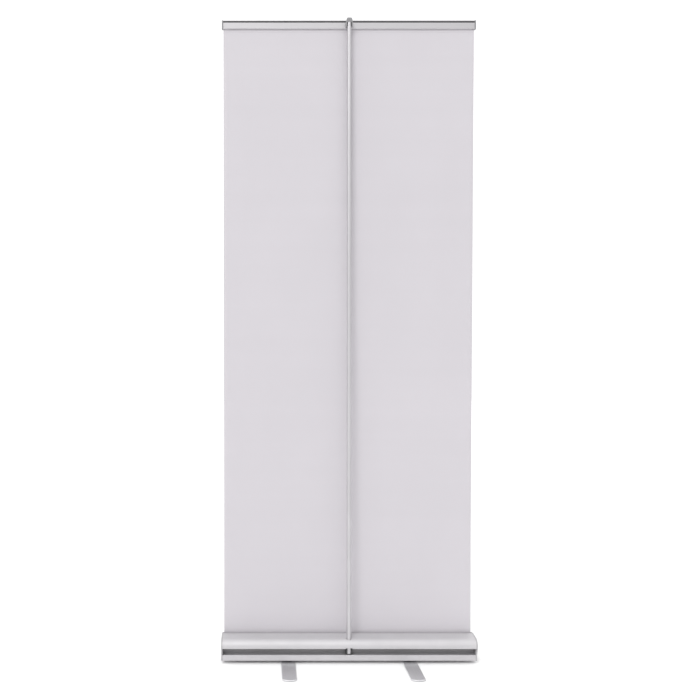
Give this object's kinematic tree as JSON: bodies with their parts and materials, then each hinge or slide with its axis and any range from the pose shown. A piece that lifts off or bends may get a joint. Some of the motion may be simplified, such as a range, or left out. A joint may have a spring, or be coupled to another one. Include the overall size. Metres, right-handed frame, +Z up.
{
  "type": "roll-up banner stand",
  "caption": "Retractable banner stand: a low cassette on swivelling feet, a sectional pole behind it and a tall blank banner held by a slim top rail.",
  "frame": {"origin": "on the floor, under the middle of the base, midway between the two foot pivots", "axes": "+X along the base, with the spring end of the roller at -X; the pole stands on the -Y side and the banner's printed side faces +Y; +Z up"},
  "size_m": [0.853, 0.393, 2.148],
  "materials": {
    "cassette_aluminium": "satin anodised, silver",
    "pole_aluminium": "satin anodised, silver",
    "foot_aluminium": "satin anodised, silver",
    "zinc_steel": "zinc plated",
    "spring_steel": "oiled",
    "grey_plastic": "fine moulded texture",
    "black_plastic": "moulded",
    "rubber": "matte",
    "banner_film": "matte print film, blank",
    "elastic": "woven sheath"
  },
  "bodies": {
    "base": {"cassette_housing": "cassette_aluminium", "end_cap_left": "grey_plastic", "end_cap_right": "grey_plastic", "end_cap_screw_left_1": "zinc_steel", "end_cap_screw_left_2": "zinc_steel", "end_cap_screw_left_3": "zinc_steel", "end_cap_screw_right_1": "zinc_steel", "end_cap_screw_right_2": "zinc_steel", "end_cap_screw_right_3": "zinc_steel", "spindle": "zinc_steel", "torsion_spring": "spring_steel", "pole_socket": "black_plastic", "foot_bolt_left": "zinc_steel", "foot_bolt_right": "zinc_steel", "foot_spacer_left": "black_plastic", "foot_spacer_right": "black_plastic", "foot_washer_left": "zinc_steel", "foot_washer_right": "zinc_steel", "foot_nut_left": "zinc_steel", "foot_nut_right": "zinc_steel"},
    "foot_left": {"foot_bar_left": "foot_aluminium", "foot_pad_left_front": "rubber", "foot_pad_left_rear": "rubber"},
    "foot_right": {"foot_bar_right": "foot_aluminium", "foot_pad_right_front": "rubber", "foot_pad_right_rear": "rubber"},
    "roller": {"roller_tube": "pole_aluminium", "wound_leader": "banner_film", "roller_bush_left": "black_plastic", "spring_anchor": "black_plastic", "roller_plug_right": "black_plastic"},
    "rail": {"top_rail": "cassette_aluminium", "rail_cap_left": "grey_plastic", "rail_cap_right": "grey_plastic", "rail_clamp_strip": "black_plastic", "banner": "banner_film"},
    "pole_lower": {"pole_bottom_plug": "black_plastic", "pole_tube_lower": "pole_aluminium", "pole_ferrule_lower": "zinc_steel", "pole_cord": "elastic"},
    "pole_middle": {"pole_tube_middle": "pole_aluminium", "pole_ferrule_middle": "zinc_steel"},
    "pole_upper": {"pole_tube_upper": "pole_aluminium", "pole_head": "grey_plastic"}
  },
  "joints": [
    {"name": "foot_left_swivel", "type": "hinge", "parent": "base", "child": "foot_left", "pos_m": [-0.203, 0, 0], "axis": [0, 0, 1], "range_deg": [-90, 90]},
    {"name": "foot_right_swivel", "type": "hinge", "parent": "base", "child": "foot_right", "pos_m": [0.203, 0, 0], "axis": [0, 0, 1], "range_deg": [-90, 90]},
    {"name": "banner_travel", "type": "slide", "parent": "base", "child": "rail", "axis": [0, 0.0238, -0.9997], "range_m": [0, 2.03], "deforming": ["banner"]},
    {"name": "roller_turn", "type": "hinge", "parent": "base", "child": "roller", "pos_m": [0, 0.0028, 0.0519], "axis": [1, 0, 0], "range_deg": [-5992, 0]},
    {"name": "pole_lift", "type": "slide", "parent": "base", "child": "pole_lower", "axis": [0, -0.007, 1], "range_m": [0, 0.046]},
    {"name": "pole_lower_joint", "type": "slide", "parent": "pole_lower", "child": "pole_middle", "axis": [0, -0.007, 1], "range_m": [0, 0.035]},
    {"name": "pole_upper_joint", "type": "slide", "parent": "pole_middle", "child": "pole_upper", "axis": [0, -0.007, 1], "range_m": [0, 0.035]}
  ],
  "couplings": [
    {"joint": "roller_turn", "follows": "banner_travel", "rad_per_m": -51.5}
  ]
}
